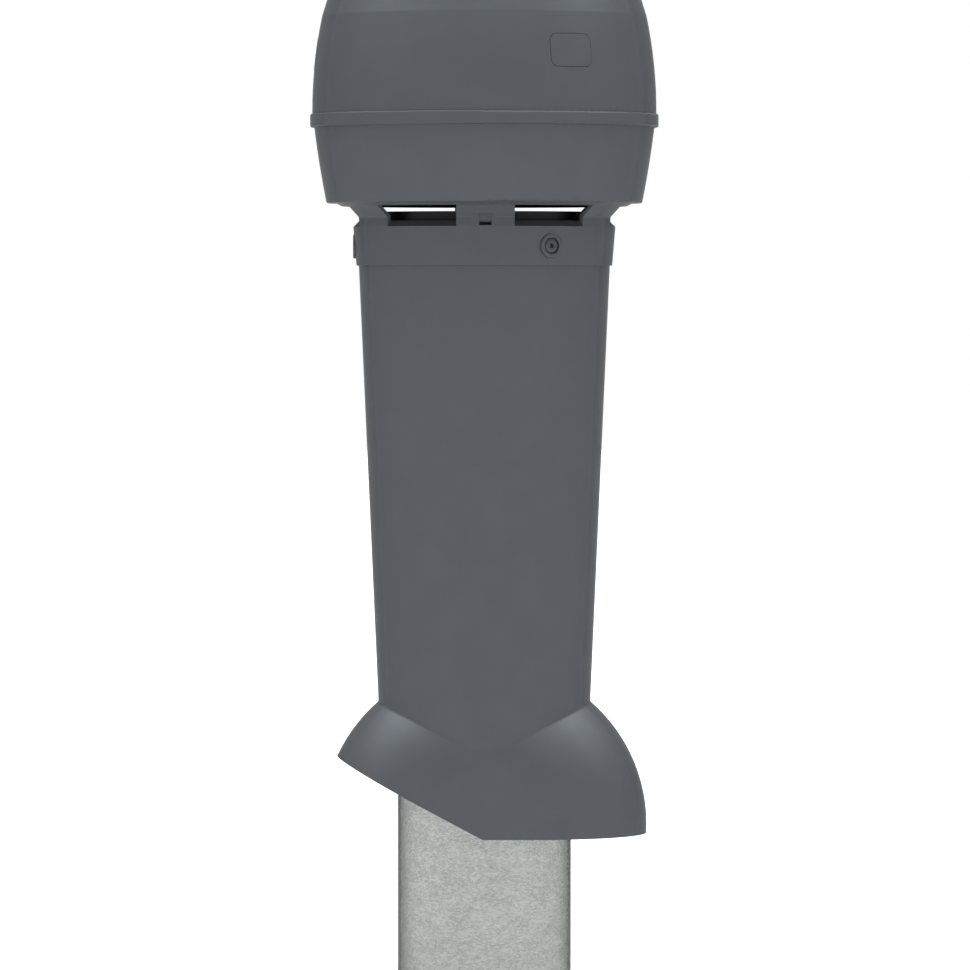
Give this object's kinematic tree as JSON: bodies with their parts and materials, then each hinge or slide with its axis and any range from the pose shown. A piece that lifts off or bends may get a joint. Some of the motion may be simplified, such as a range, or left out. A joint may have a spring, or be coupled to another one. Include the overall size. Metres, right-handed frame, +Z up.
{
  "type": "roof vent pipe",
  "caption": "Insulated roof vent pipe: galvanised duct in a tapered plastic casing with a roof skirt, under a windowed hood with a domed cap.",
  "frame": {"origin": "on the duct's axis, in the plane of its lower end", "axes": "+Z up along the duct; -Y is the front, with one window strut in the middle; +X is the level side of the skirt and -X the side cut to the roof's slope"},
  "size_m": [0.3212, 0.3212, 1.108],
  "materials": {
    "galvanised_steel": "galvanised sheet with a fine spangle",
    "grey_plastic": "satin moulded polypropylene",
    "dark_plastic": "satin moulded polypropylene",
    "foam": "expanded polystyrene foam",
    "black_rubber": "matte rubber",
    "coated_screws": "grey coated steel"
  },
  "bodies": {
    "root": {"inner_duct": "galvanised_steel", "outer_pipe": "grey_plastic", "insulation_rear": "foam", "insulation_front": "foam", "pipe_gasket": "black_rubber", "hood_base": "grey_plastic", "air_sleeve": "dark_plastic", "duct_seal": "black_rubber", "hood_cap": "grey_plastic", "cap_insert_front": "grey_plastic", "cap_insert_left": "grey_plastic", "collar_screws": "coated_screws"}
  },
  "joints": []
}
